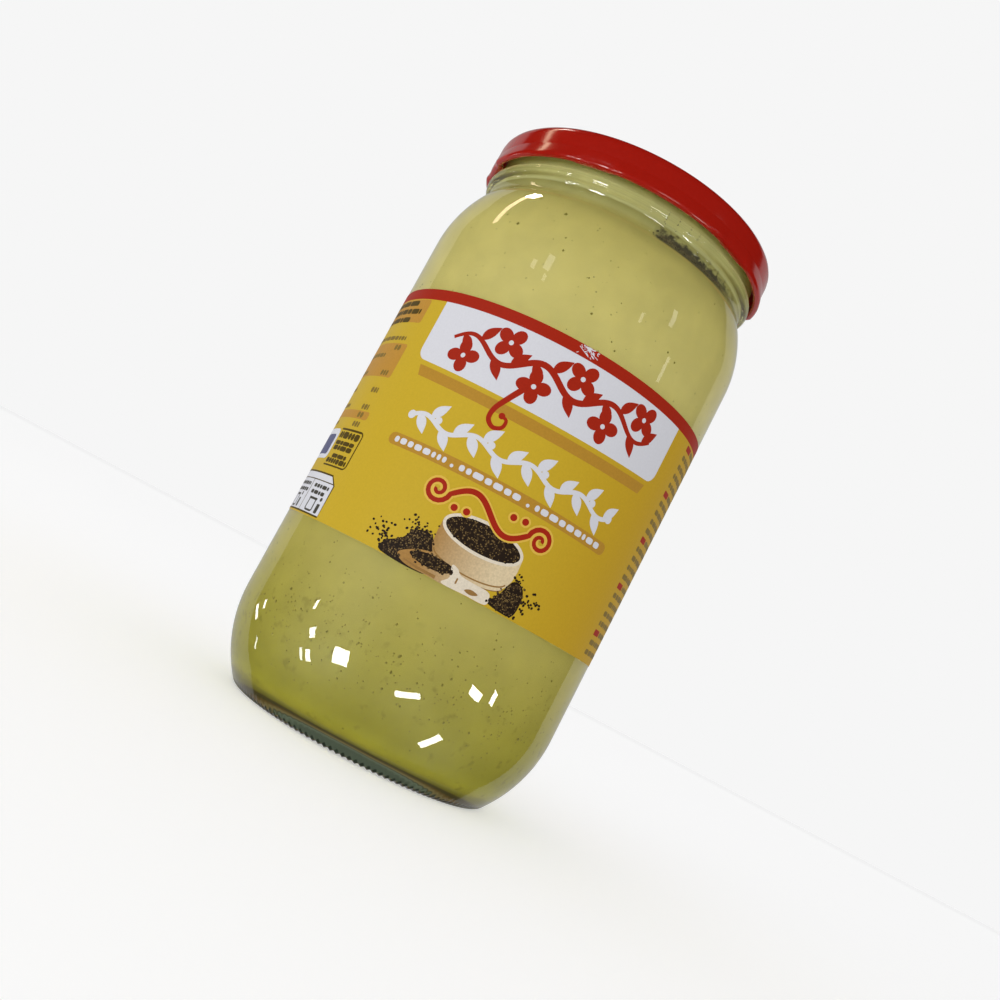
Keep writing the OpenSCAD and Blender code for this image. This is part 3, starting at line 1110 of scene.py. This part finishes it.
def scuffs(bm):
    """Chips rubbed through the red band to the bare paper."""
    rng = random.Random(13)
    for _ in range(34):
        u, z = rng.gauss(5.2, 1.7), HIGH - abs(rng.gauss(0, 1.2)) - 0.05
        if not BAND_LOW < z < HIGH - 0.2:
            continue
        r = rng.uniform(0.08, 0.32)
        disc(bm, u, z, r * rng.uniform(1, 2.4), r * 0.6, rng.uniform(-50, 50), 6)
    disc(bm, 4.9, HIGH - 0.35, 0.9, 0.32, 8, 9)
    stroke(bm, [(2.6, HIGH - 0.9), (3.9, HIGH - 1.5), (5.6, HIGH - 2.3)], 0.16)
    stroke(bm, [(5.2, HIGH - 0.6), (6.4, HIGH - 1.3), (7.9, HIGH - 1.8)], 0.14)


def back_blocks(bm):
    """The back: more fields for small print, in the same manner."""
    for u0, u1 in ((92, 128), (-128, -90)):
        bar(bm, u0, 84.8, u1, 104.4, 1.2)


def back_print(bm):
    """Lines of small print in the fields on the back, and ragged lines below them."""
    rng = random.Random(19)
    for k in range(5):
        for u0, u1 in ((95, 125), (-125, -93)):
            dashes(bm, u0, u1, 101.8 - 3.2 * k, 1.2, rng, 0.6, 4)
    for k in range(10):
        for u0, u1 in ((95, 126), (-126, -95)):
            dashes(bm, u0, u1 - 9 * rng.random(), 79.5 - 2.6 * k, 1.1, rng, 0.55, 4)


def wrap_label():
    """The paper and its print. Each ink's layer says how far it lies above the paper."""
    white = coated_paper("paper_white", "#D6D6DC", 0.02, 0.5, 0.25)
    # The yellow darkens towards the right of the jar: painted shade, as that side is lit less
    yellow = coated_paper("ink_yellow", "#C7A728", 0.03, across=("#C1981A", 5, 44))
    red = coated_paper("ink_red", "#A42106")
    ochre = coated_paper("ink_ochre", "#B4862B")
    orange = coated_paper("ink_orange", "#BC8A33")
    brown = coated_paper("ink_brown", "#54430F")
    soft_brown = coated_paper("ink_soft_brown", "#846C2A")
    grey = coated_paper("ink_grey", "#47443C")
    blue = coated_paper("ink_blue", "#5C5E80")
    pale_yellow = coated_paper("ink_pale_yellow", "#DDB648", 0.03)
    wood = coated_paper("ink_wood", "#A67C40", 0.10, across=("#DAC6A0", -7, 10))
    wood_pale = coated_paper("ink_wood_pale", "#DFD3BE", 0.07)
    wood_dark = coated_paper("ink_wood_dark", "#96703C", 0.06)
    seed_dark = coated_paper("ink_seed_dark", "#281B10", 0.08)
    seed_mid = coated_paper("ink_seed_mid", "#4A3820", 0.08)
    seed_light = coated_paper("ink_seed_light", "#80683C", 0.08)
    paper_sleeve(white)
    for name, ink, layer, draw in (
            ("print_ground", yellow, 1, ground),
            ("print_red_band", red, 1, red_band),
            ("print_white_panel", white, 2, white_panel),
            ("print_ochre_bar", ochre, 2, ochre_bar),
            ("print_ochre_pill", ochre, 2, ochre_pill),
            ("print_side_fields", orange, 2, side_blocks),
            ("print_back_fields", orange, 2, back_blocks),
            ("print_side_white", white, 2, side_white),
            ("print_side_blue", blue, 3, side_blue),
            ("print_small_dashes", white, 3, pill_dashes),
            ("print_vine", white, 2, white_vine),
            ("print_sprig", red, 3, sprig),
            ("print_flower_hearts", white, 4, flower_hearts),
            ("print_side_lines", brown, 3, side_print),
            ("print_side_figures", soft_brown, 3, side_figures),
            ("print_side_frames", brown, 4, side_frames),
            ("print_side_signs", grey, 3, side_signs),
            ("print_back_lines", brown, 3, back_print),
            ("print_list_lines", soft_brown, 2, list_lines),
            ("print_list_heads", red, 2, list_heads),
            ("print_heap_dark", seed_dark, 2, heap_dark),
            ("print_bowl_wood", wood, 3, bowl_wood),
            ("print_bowl_lines", wood_dark, 4, bowl_lines),
            ("print_bowl_dark", seed_dark, 4, bowl_dark),
            ("print_bowl_rim", wood_pale, 5, bowl_rim),
            ("print_scoop_wood", wood, 4, scoop_wood),
            ("print_scoop_handle", wood_pale, 5, scoop_handle),
            ("print_scoop_shade", wood_dark, 6, scoop_shade),
            ("print_scoop_dark", seed_dark, 5, scoop_dark),
            ("print_seeds_dark", seed_dark, 6, lambda bm: seeds(bm, 0.45, 0.36, 1)),
            ("print_seeds_mid", seed_mid, 6, lambda bm: seeds(bm, 0.5, 0.26, 3)),
            ("print_seeds_light", seed_light, 6.4, lambda bm: seeds(bm, 0.5, 0.15, 2)),
            ("print_seeds_loose", seed_dark, 5, loose_seeds),
            ("print_scroll_glow", pale_yellow, 7, scroll_glow),
            ("print_scroll", red, 8, scroll),
            ("label_scuffs", white, 2, scuffs)):
        printed(name, ink, layer, draw)


# ---------------------------------------------------------------- the stage

CAMERA_AT = Vector((0, -277.7, 38.0))


def white_board():
    """Matt white board that glows a little, so that it stays near white round the shadow."""
    made, tree, out = material("white_board")
    board = add(tree, "BsdfPrincipled", {
        "Base Color": colour("#EFEFEF"), "Roughness": 0.9, "Emission Color": colour("#FFFFFF"),
        "Emission Strength": 0.36})
    tree.links.new(board.outputs[0], out.inputs["Surface"])
    return made


def studio_floor(board):
    """A table five metres wide. Light comes up through it as it does in a light tent, so it
    only takes the jar's shadow."""
    bm = bmesh.new()
    bmesh.ops.create_grid(bm, x_segments=1, y_segments=1, size=2.5)
    floor = placed(bm, "studio_floor", board)
    floor.visible_glossy = False
    floor.visible_diffuse = False
    floor.visible_shadow = False


def studio_world():
    """A light tent: brightest round the middle and to the left, dimmer overhead. It isn't
    mirrored; what the glass and enamel mirror is set out as cards."""
    world = bpy.data.worlds.new("studio")
    world.use_nodes = True
    tree = world.node_tree
    tree.nodes.clear()
    out = add(tree, "OutputWorld")
    place = add(tree, "TexCoord")
    xyz = add(tree, "SeparateXYZ", {0: place.outputs["Generated"]})
    across = add(tree, "MapRange", {"Value": xyz.outputs["X"], "From Min": -1, "From Max": 1,
                                    "To Min": 1.0, "To Max": 0.92})
    up = add(tree, "MapRange", {"Value": xyz.outputs["Z"], "From Min": 0.1, "From Max": 0.9,
                                "To Min": 1.0, "To Max": 0.55})
    level = add(tree, "Math", {0: across.outputs[0], 1: up.outputs[0]}, operation="MULTIPLY")
    # The table lies in the jar's own shade, low down to the right
    right = add(tree, "MapRange", {"Value": xyz.outputs["X"], "From Min": 0, "From Max": 0.8,
                                   "To Max": 0.30})
    below = add(tree, "MapRange", {"Value": xyz.outputs["Z"], "From Min": 0.15,
                                   "From Max": -0.5})
    shade = add(tree, "Math", {0: right.outputs[0], 1: below.outputs[0]}, operation="MULTIPLY")
    kept = add(tree, "Math", {0: 1, 1: shade.outputs[0]}, operation="SUBTRACT")
    level = add(tree, "Math", {0: level.outputs[0], 1: kept.outputs[0]}, operation="MULTIPLY")
    around = add(tree, "Background", {"Color": colour("#FFFFFF"), "Strength": level.outputs[0]})
    seen = add(tree, "Background", {"Color": colour("#F6F6F6"), "Strength": 1.0})
    path = add(tree, "LightPath")
    mix = add(tree, "MixShader", {0: path.outputs["Is Camera Ray"], 1: around.outputs[0],
                                  2: seen.outputs[0]})
    tree.links.new(mix.outputs[0], out.inputs["Surface"])
    world.cycles_visibility.glossy = False
    bpy.context.scene.world = world


def lamp(name, location, way, width, height, watts, tint="#FFFFFF", lean=0):
    """An area lamp that shines back against `way`, leant by an angle in degrees. It and its
    sides are in metres."""
    light = bpy.data.lights.new(name, "AREA")
    light.shape = "RECTANGLE"
    light.size, light.size_y = width, height
    light.energy = watts
    light.color = colour(tint)[:3]
    stand = bpy.data.objects.new(name, light)
    turn = way.to_track_quat("Z", "Y").to_matrix() @ Matrix.Rotation(math.radians(lean), 3, "Z")
    stand.matrix_world = Matrix.Translation(location) @ turn.to_4x4()
    stand.visible_camera = False
    bpy.context.scene.collection.objects.link(stand)
    return stand


def facing(turn, rise):
    """The way out from the jar at a turn and a rise in radians."""
    return Vector((math.sin(turn) * math.cos(rise), -math.cos(turn) * math.cos(rise),
                   math.sin(rise)))


def softbox(name, turn, rise, distance, size, watts):
    """A soft lamp that only lights and isn't mirrored."""
    way = facing(math.radians(turn), math.radians(rise))
    stand = lamp(name, Vector((0, 0, 0.08)) + way * distance, way, size, size, watts)
    stand.visible_glossy = False


def spot(turn, z):
    """A point on the outside of the jar and the way its surface faces."""
    rise, r = 0, BODY_R
    if z < HEEL_H:
        rise = math.asin((z - HEEL_H) / HEEL_R)
        r = heel_x + HEEL_R * math.cos(rise)
    elif z > SHOULDER_H:
        rise = math.asin((z - SHOULDER_H) / SHOULDER_R)
        r = shoulder_x + SHOULDER_R * math.cos(rise)
    a = math.radians(turn)
    return Vector((r * math.sin(a), -r * math.cos(a), z)), facing(a, rise)


def card(name, turn, z, width, height, radiance, lean=0, tint="#FFFFFF"):
    """A lit card a metre away that is only mirrored, and is seen at one spot on the jar."""
    point, face = spot(turn, z)
    way = (point - CAMERA_AT).reflect(face).normalized()
    watts = radiance * math.pi * width * height
    stand = lamp(name, point * MM + way, way, width, height, watts, tint, lean)
    stand.visible_diffuse = False
    stand.visible_transmission = False


# What the glass mirrors: where each card is seen round and up the jar, its width and height in
# metres, how bright it is, and its lean in degrees
WINDOWS = (("window_edge_a", -53.9, 19.6, 0.048, 0.13, 9, 38),
           ("window_edge_b", -51.3, 22.2, 0.038, 0.07, 12, 19),
           ("window_edge_c", -48.2, 13.2, 0.026, 0.095, 9, -25),
           ("window_left_a", -31.2, 25.7, 0.036, 0.014, 22, 4),
           ("window_left_b", -27.6, 22.2, 0.075, 0.11, 25, 22),
           ("window_left_c", -28.1, 16.7, 0.038, 0.14, 16, 13),
           ("window_left_d", -25.7, 17.2, 0.066, 0.135, 22, 15),
           ("window_middle", -16.0, 20.6, 0.19, 0.20, 28, 8),
           ("window_flat", 6.4, 20.0, 0.30, 0.085, 25, 25),
           ("window_right_a", 24.5, 24.9, 0.165, 0.014, 28, -2),
           ("window_right_b", 30.7, 25.6, 0.066, 0.018, 25, -4),
           ("window_right_low", 19.7, 13.1, 0.085, 0.25, 25, -18),
           ("shoulder_window", -36.1, 141.6, 0.12, 0.09, 26, 30, "#FFFCF1"),
           ("shoulder_tube", -41.6, 135.8, 0.060, 0.47, 7, 33, "#FFE7C4"),
           ("faint_a", -21.2, 123.3, 0.055, 0.016, 3),
           ("faint_b", -16.9, 126.6, 0.085, 0.026, 3),
           ("faint_c", -16.0, 121.0, 0.035, 0.014, 3),
           ("faint_d", 25.6, 129.0, 0.060, 0.13, 3),
           ("faint_e", 30.9, 116.5, 0.040, 0.034, 3),
           ("faint_f", 15.9, 124.8, 0.036, 0.012, 3))


def lights():
    softbox("key_softbox", -45, 10, 1.2, 0.8, 2.2)
    for window in WINDOWS:
        card(*window)
    # The pale wall behind the jar shows as a band along both of its edges
    width, height, brightness = 6.4, 5.0, 0.46
    wall = lamp("back_wall", Vector((0, 2.0, 0.1)), Vector((0, 1, 0)), width, height,
                brightness * math.pi * width * height)
    wall.visible_diffuse = False
    wall.visible_transmission = False


def front_camera():
    """Close in front of the jar and near the table, looking a little up and well turned about
    its line of sight, so that the jar leans to the right."""
    pan, tilt, roll = -0.71, 7.50, 27.82
    lens = bpy.data.cameras.new("camera")
    lens.sensor_width = 36
    lens.lens = 36.87
    lens.clip_start = 0.01
    stand = bpy.data.objects.new("camera", lens)
    stand.matrix_world = (
        Matrix.Translation(CAMERA_AT * MM)
        @ Matrix.Rotation(math.radians(pan), 4, "Z")
        @ Matrix.Rotation(math.radians(90 + tilt), 4, "X")
        @ Matrix.Rotation(math.radians(roll), 4, "Z"))
    bpy.context.scene.collection.objects.link(stand)
    bpy.context.scene.camera = stand


glass_jar(flint_glass())
mustard_fill(mustard_paste())
husk_specks(seed_husk())
neck_shade_and_smears(shade_and_smear_paint())
enamel_cap(stoving_enamel())
wrap_label()
studio_floor(white_board())
studio_world()
lights()
front_camera()
bpy.context.scene.view_settings.view_transform = "Standard"
